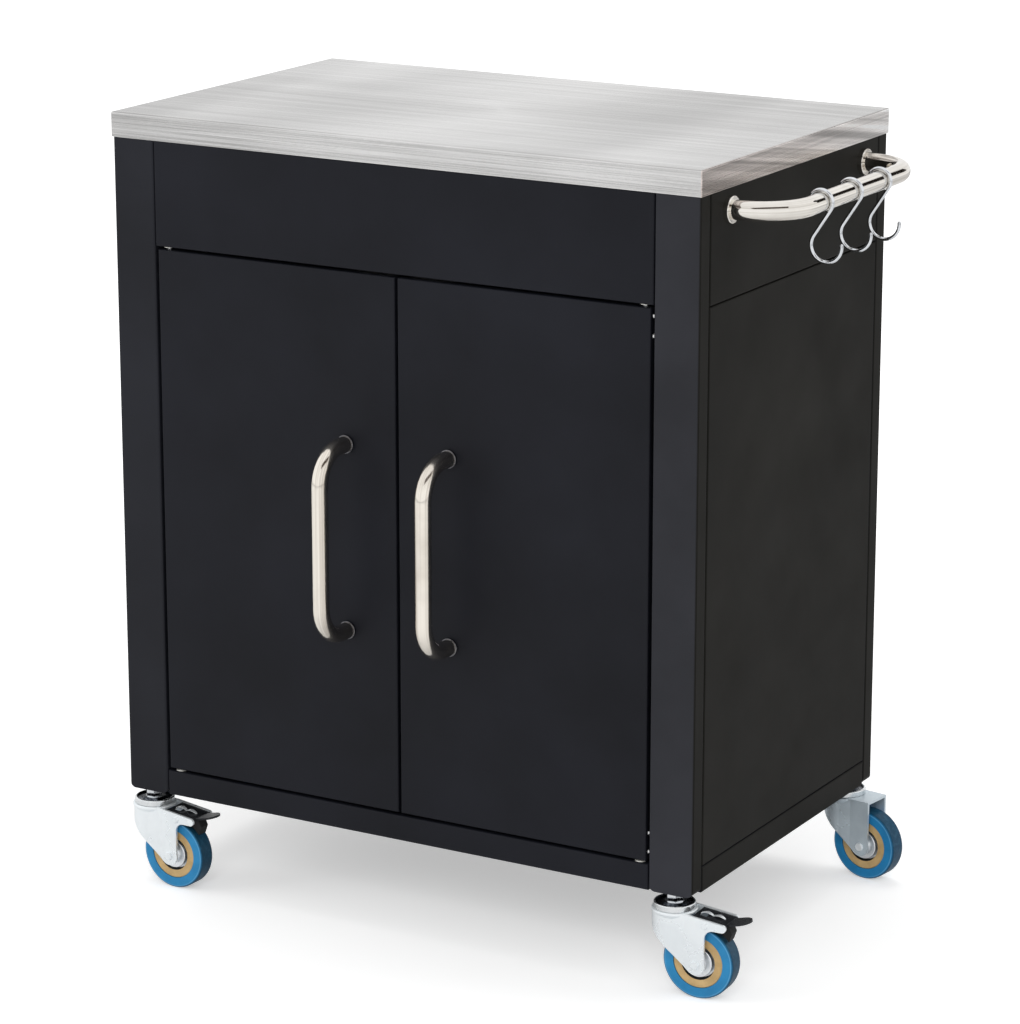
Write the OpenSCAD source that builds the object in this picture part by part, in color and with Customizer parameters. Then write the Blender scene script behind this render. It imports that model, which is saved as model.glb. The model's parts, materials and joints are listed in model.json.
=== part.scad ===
// Kitchen cart: a steel cabinet with two hinged doors and a steel worktop, on four swivel casters.
// Millimetres, Z up. The origin lies on the floor under the middle of the overall box,
// +X points to the towel bar and -Y to the doors.

/* [Body] */
// Width of the cabinet over the posts
body_w = 650; // [560:5:900]
// Depth of the cabinet from front face to back face
body_d = 400; // [340:5:520]
// Height of the posts, from foot to worktop
body_h = 675; // [600:5:760]
// Thickness of the folded sheet
sheet_t = 1.2; // [0.8:0.1:1.6]
// Inner radius of a fold
fold_in = 0.6; // [0.3:0.1:1.2]
// Depth of the returns behind each panel
panel_lip = 12; // [8:1:16]
// Seam between two panels
seam = 0.8; // [0.4:0.1:1.5]

/* [Posts] */
// Width of a post across the front
post_w = 47; // [40:1:60]
// Depth of a post along the side
post_d = 19.5; // [17:0.5:24]
// Outer corner radius of a post
post_r = 2.2; // [1.8:0.1:3]
// Radius of the lower corners of a post
foot_r = 7; // [3:0.5:9]
// Thickness of the block that closes a post and holds the caster stem
foot_t = 10; // [10:0.5:16]

/* [Aprons and floor] */
// Height of the aprons under the worktop
apron_h = 105; // [80:1:130]
// Depth of the front apron's flanges, which carry hinge bushes and catches
apron_flange = 34; // [30:1:44]
// Height of the bottom rails, which are the turned-down edges of the floor
rail_h = 26; // [22:1:36]
// Depth of the returns under the rails
rail_lip = 14; // [8:1:18]

/* [Worktop] */
// Thickness of the worktop
top_t = 25; // [20:1:40]
// Overhang of the worktop past the cabinet on every side
top_lap = 1; // [0.5:0.5:6]
// Width of the hem under the worktop's edge
hem_w = 9; // [6:1:14]
// Diameter of a worktop screw
top_screw_d = 4.5; // [4:0.5:6]
// Length of a worktop screw over the aprons
top_screw_l = 14; // [10:1:18]
// Distance of the outer worktop screws from the middle of the front apron
top_screw_x = 200; // [120:5:220]

/* [Doors] */
// Thickness of a door
door_t = 17; // [16:0.5:20]
// Gap above and below a door
door_gap = 3; // [2:0.5:5]
// Gap between a door and its post
side_gap = 3.5; // [3.5:0.5:6]
// Gap between the two doors
mid_gap = 3; // [2:0.5:5]
// Thickness of the door sheet
door_sheet = 1; // [0.8:0.1:1.4]
// Depth of the returns on the inner door sheet
liner_lip = 5; // [3:0.5:5]

/* [Hinges] */
// Distance of a hinge axis from the outer edge of its door
hinge_in = 9; // [8:0.5:9]
// Distance of a hinge axis behind the door's face
hinge_back = 8; // [7:0.5:8]
// Diameter of a hinge pin
pin_d = 5; // [4:0.5:6]
// Thickness of a hinge bracket
bracket_t = 2; // [1.5:0.1:2.5]
// Width of a hinge bracket
bracket_w = 8.4; // [8:0.1:8.8]
// Height of a hinge bracket's screwed leg
bracket_h = 34; // [32:1:50]
// Length of a hinge bracket's leg that holds the pin
bracket_l = 17; // [14:1:24]
// Distance of the first bracket screw from the end of the door
screw_first = 8; // [8:0.5:12]
// Distance between the two bracket screws
screw_pitch = 19; // [12:1:20]
// Diameter of a bracket screw
screw_d = 3; // [2.5:0.5:3.5]
// Flange thickness of a hinge bush
bush_flange = 1; // [0.6:0.1:1.5]
// Length of a hinge bush inside its sheet
bush_l = 5; // [3:0.5:8]

/* [Handles] */
// Distance between the two feet of a handle
handle_cc = 188; // [96:4:256]
// Distance of a handle's centreline from the door
handle_reach = 48; // [40:1:56]
// Diameter of a handle
handle_d = 16.5; // [8:0.5:18]
// Bend radius of a handle's centreline
handle_bend = 34; // [20:1:36]
// Distance of a handle from the middle of the cabinet
handle_x = 58; // [40:1:90]
// Height of a handle's middle above the foot of the cabinet
handle_z = 303; // [240:1:340]
// Thickness of the ring at a handle's foot
ring_t = 2.5; // [1.5:0.5:4]
// How far that ring stands out round the handle
ring_over = 1; // [0.5:0.5:3]
// Diameter of a handle screw
handle_screw_d = 4; // [3:0.5:5]
// Wall of the handle and bar tubes
tube_wall = 1.5; // [1:0.1:2]
// Length of the plug in a tube's foot
plug_l = 14; // [13:1:16]
// Length of the thread in that plug
thread_l = 12; // [8:1:12]

/* [Shelf] */
// Height of the shelf above the foot of the cabinet
shelf_z = 300; // [200:5:380]
// Depth of the turned-down edge of the shelf
shelf_lip = 20; // [12:1:30]
// Clearance between the shelf and what stands around it
shelf_gap = 4.5; // [4:0.5:8]
// Diameter of a shelf pin
peg_d = 6; // [5:0.5:8]
// Length of a shelf pin under the shelf
peg_l = 12; // [9:1:20]

/* [Towel bar] */
// Distance between the two feet of the towel bar
bar_cc = 288; // [260:4:320]
// Distance of the bar's centreline from the cabinet's side
bar_reach = 58; // [50:1:70]
// Diameter of the bar
bar_d = 19; // [16:0.5:22]
// Bend radius of the bar's centreline
bar_bend = 48; // [30:1:48]
// Depth of the bar's centreline under the worktop
bar_drop = 20; // [18:1:34]
// Outer diameter of the ring at the bar's foot
collar_d = 26; // [24:0.5:32]
// Thickness of that ring
collar_t = 5.5; // [3:0.5:8]
// Diameter of the bar's screw
bar_screw_d = 6; // [5:0.5:8]

/* [Hooks] */
// Diameter of the hook wire
wire_d = 3.6; // [3:0.1:4.5]
// Centreline radius of a hook's lower loop
hook_r = 15.7; // [13:0.1:18]
// Height between the middles of the two loops
hook_drop = 40.5; // [40:0.5:52]
// How far the lower loop stands further out than the bar
hook_out = 6; // [0:0.5:8]
// Distance between two hooks
hook_pitch = 64; // [40:1:65]
// Distance of the middle hook in front of the bar's middle
hook_shift = 6; // [0:1:10]
// Angle where the upper loop ends, on the cabinet's side
hook_end_up = 170; // [150:5:180]
// Angle where the lower loop ends, on the outer side
hook_end_low = 5; // [-20:5:20]

/* [Casters] */
// Height from the floor to the foot of the cabinet
caster_h = 100; // [98:0.5:110]
// Diameter of a wheel
wheel_d = 73; // [70:0.5:76]
// Width of a wheel
wheel_w = 19.5; // [18:0.5:24]
// Distance of the axle behind the swivel axis
trail = 29; // [26:0.5:32]
// Diameter of the caster stem
stem_d = 10; // [8:0.5:12]
// Height of the nut on the stem
nut_h = 8; // [6:0.5:9]
// Width of that nut across its flats
nut_across = 15; // [15:0.5:19]
// Thickness of the stem's riveted head
head_t = 3; // [2:0.5:4]
// Diameter of the upper race
race_d = 41; // [38:0.5:43]
// Height of the upper race
race_h = 5.7; // [5:0.1:6.5]
// Radius of the seat for the nut on the race
race_seat = 11; // [10.5:0.5:12]
// Depth of the groove round that seat
race_dish = 2.2; // [1.5:0.1:2.6]
// Radius of the race's rim
race_edge = 1.2; // [0.8:0.1:1.5]
// Outer diameter of the fork's crown
crown_d = 45; // [44:0.5:48]
// Radius of the crown's edge
crown_edge = 1.5; // [1:0.1:2]
// Depth of the flare under the crown
crown_skirt = 9; // [7:0.5:10]
// Thickness of the fork's sheet
fork_t = 2.5; // [2:0.1:2.8]
// Width of the fork over its legs
fork_w = 34; // [32:0.5:38]
// Radius of a leg's lower end
boss_r = 10; // [8:0.5:12]
// Distance of the fork's nose in front of the swivel axis
nose_x = 22; // [21:0.5:23]
// Radius of the nose, seen from above
nose_r = 20; // [19.5:0.5:21]
// Distance of the crease between nose and flat leg behind the swivel axis
crease_x = 17; // [12:0.5:17]
// Lean of the fork's sides between nose and crease
nose_lean = 9; // [7:0.5:9]
// Height of the nose under the crown
chin_drop = 13; // [10:0.5:16]
// Diameter of the axle bolt
axle_d = 6; // [5:0.5:7]
// Diameter of the bolt's head, and the nut across its flats
axle_head_d = 9; // [9:0.5:12]
// Thickness of the axle's nut
axle_nut_t = 4; // [3:0.5:5]

/* [Wheels] */
// Outer diameter of the wheel's core
core_d = 51.5; // [48:0.5:54]
// Inner diameter of the core's rim
core_in_d = 35; // [34:0.1:38]
// Diameter of the dust caps
cap_d = 29.5; // [26:0.5:31]
// Thickness of the dust caps
cap_t = 2; // [1.5:0.1:2.5]
// Thickness of the core's web
web_t = 7; // [5:0.5:9]
// How far the core's rim lies inside the tread's side
rim_inset = 0.8; // [0.4:0.1:1.5]
// Rounding of the tread's shoulders
shoulder_r = 2.5; // [1:0.5:4]

/* [Brake] */
// Distance from the swivel axis to the pedal's rivet
rivet_x = 38.7; // [37:0.1:40]
// Height of the pedal's rivet over the axle
rivet_up = 40.9; // [40.5:0.1:42]
// Length of the fork's arm from the swivel axis
arm_l = 60.5; // [58:0.5:64]
// Height of the arm's round end
arm_h = 7.8; // [7.8:0.1:8.6]
// Radius of the hollow under the arm
arm_fillet = 9; // [6:0.5:10]
// Thickness of the pedal's sheet
pedal_t = 2; // [1.5:0.1:2.5]
// Depth of the pedal under the top of the fork's arms
pedal_sink = 0.8; // [0.5:0.1:1.2]
// Width of the slot in the pedal
slot_w = 12; // [8:0.5:14]
// Length of that slot
slot_l = 9; // [6:0.5:9]
// Width of the pedal's tab
tab_w = 21; // [14:0.5:22]
// Length of that tab
tab_l = 22; // [16:0.5:24]
// Travel left between the brake pad and the tread
pad_gap = 2.8; // [2.8:0.1:3.2]
// Width of the brake pad
pad_w = 12; // [10:0.5:18]
// Distance from the swivel axis to the pad's front
pad_x = 48.5; // [46:0.5:50]
// Depth of the pad under the pedal
pad_l = 17; // [15:0.5:18]
// How far the pad stands out behind the arm
pad_out = 2; // [1:0.5:4]
// Upward tilt of the pedal's tab
tab_tilt = 13; // [6:1:14]

/* [Fits] */
// Radial clearance of a part that turns in a hole
run_fit = 0.05; // [0.02:0.01:0.1]
// Clearance between faces that move past each other
run_gap = 0.3; // [0.25:0.05:0.5]

/* [Hidden] */
$fn = 40;
black = [0.14, 0.14, 0.15];
dark_side = [0.17, 0.17, 0.17];
steel = [0.78, 0.78, 0.77];
chrome = [0.85, 0.86, 0.87];
zinc = [0.74, 0.77, 0.79];
blue = [0.20, 0.50, 0.70];
tan_nylon = [0.78, 0.65, 0.43];
rubber = [0.07, 0.07, 0.07];
board = [0.66, 0.55, 0.40];
nylon = [0.90, 0.89, 0.86];

fold_r = sheet_t + fold_in;
foot_z = caster_h;
top_z = foot_z + body_h;
apron_z = top_z - apron_h;
rail_z = foot_z + rail_h;
front_w = body_w - 2 * (post_w + seam);
side_w = body_d - 2 * (post_d + seam);
post_x = (body_w - post_w) / 2;

opening_half = body_w / 2 - post_w;
door_z = rail_z + door_gap;
door_h = apron_z - door_gap - door_z;
door_edge = opening_half - side_gap;
door_w = door_edge - mid_gap / 2;
hinge_x = door_edge - hinge_in;
pin_r = pin_d / 2;
bush_wall = 1.5;
bush_r = pin_r + bush_wall;
screw_head_t = 1.2;
screw_head_d = 5.5;
// What a bracket screw shows past the sheet
screw_end = 2.5;
// Collar of a shelf pin under the shelf
peg_collar_d = peg_d + 3;
pan_t = 2.5;
core_play = 0.5;
side_screws = [0.3, 0.7];

bar_x = body_w / 2 + bar_reach;
bar_z = top_z - bar_drop;
hook_up_r = bar_d / 2 + run_gap + wire_d / 2;

axle_z = wheel_d / 2;
race_top = caster_h - nut_h;
crown_top = race_top - race_h - run_gap;
crown_under = crown_top - fork_t;
fork_in = fork_w / 2 - fork_t;
stem_r = stem_d / 2;
axle_r = axle_d / 2;
sleeve_r = axle_r + 1.5;
hub_r = sleeve_r + 3.5;
stem_head_r = stem_r + 3.5;
stem_top = foot_z + foot_t + 4;
leg_back = trail + boss_r - 0.5;
rivet_z = axle_z + rivet_up;
rivet_r = 2.5;
rivet_head_r = rivet_r + 1.2;
rivet_head_t = 1.5;
eye_r = rivet_r + 2;

// The brake arm's top line falls from the crown's rear to the arm's round end
arm_from = crown_d / 2 - 5;
arm_low = rivet_z - arm_h / 2;
arm_end = arm_l - arm_h / 2;
arm_slope = (crown_top - rivet_z - arm_h / 2) / (arm_end - arm_from);
function arm_line(x) = crown_top - arm_slope * (x - arm_from);
pedal_front = crown_d / 2 + 2;
pedal_back = arm_l - 1;
function pedal_top(x) = arm_line(x) - pedal_sink;

// How far the whole cart reaches from the middle of the cabinet's front face
reach_left = body_w / 2 + top_lap;
reach_right = bar_x + max(bar_d / 2, hook_out + hook_r + wire_d / 2);
reach_back = max(body_d + top_lap, body_d - post_d / 2 + crown_d / 2);
reach_front = handle_reach + handle_d / 2;
mid_x = (reach_right - reach_left) / 2;
mid_y = (reach_back - reach_front) / 2;

// Turn of each caster at rest: front left, front right, rear left, rear right
caster_turn = [-2, 3, -5, -8];

// Moves a piece from the cabinet's front middle to the part's own origin
module place() {
    translate([-mid_x, -mid_y, 0]) children();
}

// Face outline with its two front corners rounded: the face at y = 0, depth d
module pan_profile(w, d, r) {
    translate([-w / 2, r]) square([w, d - r]);
    translate([-w / 2 + r, 0]) square([w - 2 * r, d]);
    for (s = [-1, 1]) translate([s * (w / 2 - r), r]) circle(r);
}

// Block with rounded edges all round its face, which looks along -Y
module pan_block(w, h, d, r) {
    intersection() {
        linear_extrude(h) pan_profile(w, d, r);
        translate([0, 0, h / 2]) rotate([0, 90, 0]) linear_extrude(w + 2, center = true)
            pan_profile(h, d, r);
    }
}

// Sheet folded back on all four sides
module folded_pan(w, h, d, t) {
    difference() {
        pan_block(w, h, d, t + fold_in);
        translate([0, t, t]) pan_block(w - 2 * t, h - 2 * t, d, fold_in);
    }
}

// Turns a piece that looks along -Y to another side of the cabinet
module on_right() {
    translate([body_w / 2, body_d / 2, 0]) rotate([0, 0, 90]) children();
}
module on_left() {
    translate([-body_w / 2, body_d / 2, 0]) rotate([0, 0, -90]) children();
}
module on_back() {
    translate([0, body_d, 0]) rotate([0, 0, 180]) children();
}

module round_rect(w, d, r) {
    translate([-w / 2 + r, 0]) square([w - 2 * r, d]);
    translate([-w / 2, r]) square([w, d - 2 * r]);
    for (x = [-1, 1], y = [0, 1]) translate([x * (w / 2 - r), r + y * (d - 2 * r)]) circle(r);
}

// Round bar with two bent legs: feet on the plane x = 0, grip along Y at x = reach
module bow(cc, reach, d, r) {
    for (s = [-1, 1]) {
        translate([0, s * cc / 2, 0]) rotate([0, 90, 0]) cylinder(h = reach - r, d = d);
        translate([reach - r, s * (cc / 2 - r), 0]) mirror([0, s < 0 ? 1 : 0, 0])
            rotate_extrude(angle = 90) translate([r, 0]) circle(d = d);
    }
    translate([reach, r - cc / 2, 0]) rotate([-90, 0, 0]) cylinder(h = cc - 2 * r, d = d);
}

// Ring with a rounded rim, seated on z = 0
module foot_ring(bore, outer, t) {
    e = min(1, t / 3, (outer - bore) / 2);
    rotate_extrude() {
        difference() {
            translate([bore, 0]) square([outer - bore, t]);
            translate([outer - e, t - e]) square([e, e]);
        }
        translate([outer - e, t - e]) circle(e, $fn = 24);
    }
}

// Hex body with a round hole
module hex_nut(across, h, bore_r) {
    difference() {
        cylinder(h = h, d = across / cos(30), $fn = 6);
        translate([0, 0, -1]) cylinder(h = h + 2, r = bore_r);
    }
}

// Pan-head screw: the head under z = 0, the shank up to z = l
module pan_screw(d, l, head_d, head_h) {
    cylinder(h = l, d = d);
    translate([0, 0, -head_h]) cylinder(h = head_h, d1 = head_d - head_h, d2 = head_d);
}

// Worktop

module worktop_sheet() {
    w = body_w + 2 * top_lap;
    d = body_d + 2 * top_lap;
    place() color(steel) {
        translate([0, -top_lap, top_z + top_t]) rotate([-90, 0, 0]) folded_pan(w, d, top_t, sheet_t);
        translate([0, body_d / 2, top_z]) linear_extrude(sheet_t) difference() {
            square([w - 2 * fold_in, d - 2 * fold_in], center = true);
            square([w - 2 * hem_w, d - 2 * hem_w], center = true);
        }
    }
}

// Places of the worktop screws on the aprons' upper flanges
module at_top_screws() {
    flange_mid = (hem_w + apron_flange) / 2;
    for (x = [-1, 0, 1]) translate([x * top_screw_x, flange_mid, top_z - sheet_t]) children();
    for (s = [-1, 1], y = side_screws) {
        translate([s * (body_w / 2 - flange_mid), body_d * y, top_z - sheet_t]) children();
    }
}

module worktop_core() {
    w = body_w + 2 * (top_lap - sheet_t - core_play);
    d = body_d + 2 * (top_lap - sheet_t - core_play);
    place() color(board) difference() {
        translate([0, body_d / 2, top_z + sheet_t]) linear_extrude(top_t - 2 * sheet_t)
            square([w, d], center = true);
        at_top_screws() cylinder(h = top_screw_l + sheet_t + 1, d = top_screw_d + 2 * run_fit);
    }
}

module worktop_screws() {
    place() color(chrome) at_top_screws() pan_screw(top_screw_d, top_screw_l, 2 * top_screw_d, pan_t);
}

// Posts

module post() {
    difference() {
        intersection() {
            linear_extrude(body_h) round_rect(post_w, post_d, post_r);
            translate([0, post_d + 1, 0]) rotate([90, 0, 0]) linear_extrude(post_d + 2)
                pan_profile(post_w, body_h, foot_r);
        }
        translate([0, sheet_t, foot_t]) linear_extrude(body_h)
            round_rect(post_w - 2 * sheet_t, post_d - 2 * sheet_t, post_r - sheet_t);
        translate([0, post_d / 2, -1]) cylinder(h = foot_t + 2, r = stem_r + run_fit);
        translate([0, post_d / 2, shelf_z - shelf_lip - peg_d / 2]) rotate([-90, 0, 0])
            cylinder(h = post_d, d = peg_d + 2 * run_fit);
    }
}

module post_front_left() {
    place() color(black) translate([-post_x, 0, foot_z]) post();
}
module post_front_right() {
    place() color(black) translate([post_x, 0, foot_z]) post();
}
module post_rear_left() {
    place() color(black) translate([-post_x, body_d, foot_z]) mirror([0, 1, 0]) post();
}
module post_rear_right() {
    place() color(black) translate([post_x, body_d, foot_z]) mirror([0, 1, 0]) post();
}

// Aprons, panels and floor

// Apron with wide flanges above and, for the front one, below
module apron(w, upper, lower) {
    difference() {
        union() {
            folded_pan(w, apron_h, panel_lip, sheet_t);
            translate([-w / 2, fold_r, apron_h - sheet_t]) cube([w, upper - fold_r, sheet_t]);
            translate([-w / 2, fold_r, 0]) cube([w, lower - fold_r, sheet_t]);
        }
        children();
    }
}

module top_screw_holes() {
    at_top_screws() translate([0, 0, -1]) cylinder(h = sheet_t + 2, d = top_screw_d + 2 * run_fit);
}

module front_apron() {
    place() color(black) difference() {
        translate([0, 0, apron_z]) apron(front_w, apron_flange, apron_flange)
            for (s = [-1, 1]) translate([s * hinge_x, hinge_back, -1])
                cylinder(h = sheet_t + 2, r = bush_r + run_fit);
        top_screw_holes();
    }
}

module left_apron() {
    place() color(dark_side) difference() {
        on_left() translate([0, 0, apron_z]) apron(side_w, apron_flange, panel_lip);
        top_screw_holes();
    }
}

module right_apron() {
    place() color(dark_side) difference() {
        on_right() translate([0, 0, apron_z]) apron(side_w, apron_flange, panel_lip);
        top_screw_holes();
        for (s = [-1, 1])
            translate([body_w / 2 - panel_lip, body_d / 2 + s * bar_cc / 2, bar_z]) rotate([0, 90, 0])
            cylinder(h = panel_lip + 1, d = bar_screw_d + 2 * run_fit);
    }
}

panel_z = rail_z + seam;
panel_h = apron_z - seam - panel_z;

module left_panel() {
    place() color(dark_side) on_left() translate([0, 0, panel_z])
        folded_pan(side_w, panel_h, panel_lip, sheet_t);
}
module right_panel() {
    place() color(dark_side) on_right() translate([0, 0, panel_z])
        folded_pan(side_w, panel_h, panel_lip, sheet_t);
}
module back_panel() {
    place() color(black) on_back() translate([0, 0, panel_z])
        folded_pan(front_w, top_z - panel_z, panel_lip, sheet_t);
}

// Floor sheet with its four edges turned down as rails
module floor_tray() {
    place() color(black) difference() {
        union() {
            translate([0, 0, foot_z]) {
                folded_pan(front_w, rail_h, rail_lip, sheet_t);
                on_back() folded_pan(front_w, rail_h, rail_lip, sheet_t);
                on_left() folded_pan(side_w, rail_h, rail_lip, sheet_t);
                on_right() folded_pan(side_w, rail_h, rail_lip, sheet_t);
            }
            translate([0, body_d / 2, rail_z - sheet_t]) linear_extrude(sheet_t) {
                square([front_w, body_d - 2 * fold_r], center = true);
                square([body_w - 2 * fold_r, side_w], center = true);
            }
        }
        for (s = [-1, 1]) translate([s * hinge_x, hinge_back, rail_z - bush_l - 1])
            cylinder(h = bush_l + 2, r = bush_r + run_fit);
    }
}

// Shelf

shelf_w = body_w - 2 * (sheet_t + 1.3);
shelf_d = body_d - 2 * (post_d + shelf_gap);

module shelf() {
    place() color(black) translate([0, post_d + shelf_gap, foot_z + shelf_z]) rotate([-90, 0, 0])
        folded_pan(shelf_w, shelf_d, shelf_lip, sheet_t);
}

module shelf_pin() {
    inside = post_d - 2 * sheet_t;
    translate([0, -inside / 2, 0]) rotate([-90, 0, 0]) {
        cylinder(h = inside / 2 + sheet_t + peg_l, d = peg_d);
        cylinder(h = inside / 2, d = peg_collar_d);
    }
}

module shelf_pins() {
    z = foot_z + shelf_z - shelf_lip - peg_d / 2;
    place() color(chrome) for (s = [-1, 1]) {
        translate([s * post_x, post_d - sheet_t, z]) shelf_pin();
        translate([s * post_x, body_d - post_d + sheet_t, z]) mirror([0, 1, 0]) shelf_pin();
    }
}

// Catches: a nylon case with two pole plates, screwed under the front apron

catch_w = 46;
catch_h = 13;
catch_d = 12;
pole_w = 22;
pole_t = 1.4;
ear_w = 9;
ear_t = 2;

module magnetic_catch() {
    difference() {
        translate([-catch_w / 2, pole_t, -catch_h]) cube([catch_w, catch_d, catch_h]);
        for (s = [-1, 1]) translate([s * (catch_w - ear_w) / 2 - ear_w / 2 - 1, pole_t - 1, -catch_h - 1])
            cube([ear_w + 2, catch_d + 2, catch_h + 1 - ear_t]);
    }
    for (s = [-1, 1]) translate([-pole_w / 2, pole_t - 1, -catch_h / 2 + s * (catch_h / 5) - pole_t / 2])
        cube([pole_w, 1, pole_t]);
}

module magnetic_catches() {
    place() color(nylon) for (s = [-1, 1])
        translate([s * (catch_w / 2 + door_t / 2), door_t + run_gap, apron_z]) magnetic_catch();
}

// Hinges

// Flanged bush: the flange below z = 0, the sleeve above
module bush() {
    difference() {
        union() {
            cylinder(h = bush_l, r = bush_r);
            translate([0, 0, -bush_flange]) cylinder(h = bush_flange, r = bush_r + bush_wall);
        }
        translate([0, 0, -bush_flange - 1]) cylinder(h = bush_l + bush_flange + 2, r = pin_r + run_fit);
    }
}

module hinge_bushes() {
    place() color(nylon) for (s = [-1, 1]) {
        translate([s * hinge_x, hinge_back, apron_z]) bush();
        translate([s * hinge_x, hinge_back, rail_z]) mirror([0, 0, 1]) bush();
    }
}

// Upper bracket of the right door, in the door's own place
module hinge_bracket() {
    edge = door_edge - door_sheet;
    top = door_z + door_h - door_sheet;
    y0 = hinge_back - bracket_w / 2 - 0.5;
    difference() {
        union() {
            translate([edge - bracket_t, y0, top - bracket_h]) cube([bracket_t, bracket_w, bracket_h]);
            translate([edge - bracket_l, y0, top - bracket_t]) cube([bracket_l, bracket_w, bracket_t]);
        }
        bracket_screw_places() cylinder(h = bracket_t + 2 * door_sheet, d = screw_d + 2 * run_fit);
    }
    translate([hinge_x, hinge_back, top - bracket_t])
        cylinder(h = bracket_t + door_sheet + door_gap + bush_l - 1, r = pin_r);
    bracket_screw_places() pan_screw(screw_d, door_sheet + bracket_t + screw_end, screw_head_d, screw_head_t);
}

// Screw axes in the door's outer edge, running inwards from its surface
module bracket_screw_places() {
    top = door_z + door_h;
    for (i = [0, 1]) translate([door_edge, hinge_back - 0.5, top - screw_first - i * screw_pitch])
        rotate([0, -90, 0]) children();
}

// Repeats what is at the upper end of a door at its lower end
module both_ends() {
    children();
    translate([0, 0, 2 * door_z + door_h]) mirror([0, 0, 1]) children();
}

module right_hinge_brackets() {
    place() color(chrome) both_ends() hinge_bracket();
}
module left_hinge_brackets() {
    place() color(chrome) mirror([1, 0, 0]) both_ends() hinge_bracket();
}

// Doors

module door_skin() {
    difference() {
        translate([mid_gap / 2 + door_w / 2, 0, door_z]) folded_pan(door_w, door_h, door_t, door_sheet);
        both_ends() {
            translate([hinge_x, hinge_back, door_z + door_h - door_sheet - 1])
                cylinder(h = door_sheet + 2, r = pin_r + run_fit);
            bracket_screw_places() translate([0, 0, -1])
                cylinder(h = door_sheet + 2, d = screw_d + 2 * run_fit);
        }
        for (s = [-1, 1]) translate([handle_x, -1, foot_z + handle_z + s * handle_cc / 2])
            rotate([-90, 0, 0])
            cylinder(h = door_sheet + 2, d = handle_screw_d + 2 * run_fit);
    }
}

// Inner sheet of a door, folded towards the skin
module door_liner() {
    play = 0.15;
    inset = door_sheet + play;
    translate([mid_gap / 2 + door_w / 2, door_t, door_z + inset]) mirror([0, 1, 0])
        folded_pan(door_w - 2 * inset, door_h - 2 * inset, liner_lip, door_sheet);
}

module right_door_skin() {
    place() color(black) door_skin();
}
module left_door_skin() {
    place() color(black) mirror([1, 0, 0]) door_skin();
}
module right_door_liner() {
    place() color(black) door_liner();
}
module left_door_liner() {
    place() color(black) mirror([1, 0, 0]) door_liner();
}

// Handles and towel bar

// Bent tube with a threaded plug in each foot
module tube_bow(cc, reach, d, r, bore_d) {
    difference() {
        bow(cc, reach, d, r);
        difference() {
            bow(cc, reach, d - 2 * tube_wall, r);
            for (s = [-1, 1]) translate([-1, s * cc / 2, 0]) rotate([0, 90, 0])
                cylinder(h = plug_l + 1, d = d);
        }
        for (s = [-1, 1]) translate([-1, s * cc / 2, 0]) rotate([0, 90, 0])
            cylinder(h = thread_l + 1, d = bore_d + 2 * run_fit);
    }
}

module handle() {
    translate([handle_x, 0, foot_z + handle_z]) rotate([90, 0, -90])
        tube_bow(handle_cc, handle_reach, handle_d, handle_bend, handle_screw_d);
}

module handle_fixings() {
    for (s = [-1, 1]) translate([handle_x, 0, foot_z + handle_z + s * handle_cc / 2]) rotate([90, 0, 0]) {
        foot_ring(handle_d / 2 + run_fit, handle_d / 2 + ring_over, ring_t);
        translate([0, 0, -door_sheet])
            pan_screw(handle_screw_d, door_sheet + thread_l - 1, 2 * handle_screw_d, pan_t);
    }
}

module right_handle() {
    place() color(steel) handle();
}
module left_handle() {
    place() color(steel) mirror([1, 0, 0]) handle();
}
module right_handle_fixings() {
    place() color(chrome) handle_fixings();
}
module left_handle_fixings() {
    place() color(chrome) mirror([1, 0, 0]) handle_fixings();
}

module towel_bar() {
    place() color(steel) translate([body_w / 2, body_d / 2, bar_z])
        tube_bow(bar_cc, bar_reach, bar_d, bar_bend, bar_screw_d);
}

// Places of the bar's feet, looking out of the cabinet's side
module at_bar_feet(depth) {
    for (s = [-1, 1]) translate([body_w / 2 - depth, body_d / 2 + s * bar_cc / 2, bar_z])
        rotate([0, 90, 0]) children();
}

module towel_bar_collars() {
    place() color(chrome) at_bar_feet(0) foot_ring(bar_d / 2 + run_fit, collar_d / 2, collar_t);
}
module towel_bar_screws() {
    place() color(chrome) at_bar_feet(sheet_t)
        pan_screw(bar_screw_d, sheet_t + thread_l - 1, 2 * bar_screw_d, pan_t + 0.5);
}

// Hooks: an upper loop round the bar, a straight neck and a lower loop, all in one plane

hook_span = norm([hook_out, hook_drop]);
neck_turn = acos((hook_up_r + hook_r) / hook_span) - atan2(hook_drop, hook_out);
neck_l = sqrt(pow(hook_span, 2) - pow(hook_up_r + hook_r, 2));
tip_step = 0.2;

// Bent wire about Z, starting on the X axis, with a rounded tip at its far end
module wire_arc(r, turn) {
    rotate_extrude(angle = turn) translate([r, 0]) circle(d = wire_d);
    rotate([0, 0, turn]) translate([r, 0, 0]) sphere(d = wire_d - tip_step);
}

module hook(i) {
    place() color(chrome) translate([bar_x, body_d / 2 - hook_shift + i * hook_pitch, bar_z])
        rotate([90, 0, 0])
        rotate([0, 0, neck_turn]) {
            wire_arc(hook_up_r, hook_end_up - neck_turn);
            translate([hook_up_r, 0, 0]) rotate([90, 0, 0]) cylinder(h = neck_l, d = wire_d);
            translate([hook_up_r + hook_r, -neck_l, 0]) rotate([0, 0, 180])
                wire_arc(hook_r, 180 + hook_end_low - neck_turn);
        }
}
module hook_front() {
    hook(-1);
}
module hook_middle() {
    hook(0);
}
module hook_rear() {
    hook(1);
}

// Casters: each module below draws in the caster's own place, with the swivel axis
// at x = y = 0 and the wheel trailing towards +X

function caster_x(i) = (i % 2 == 0 ? -1 : 1) * post_x;
function caster_y(i) = i < 2 ? post_d / 2 : body_d - post_d / 2;

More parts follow.
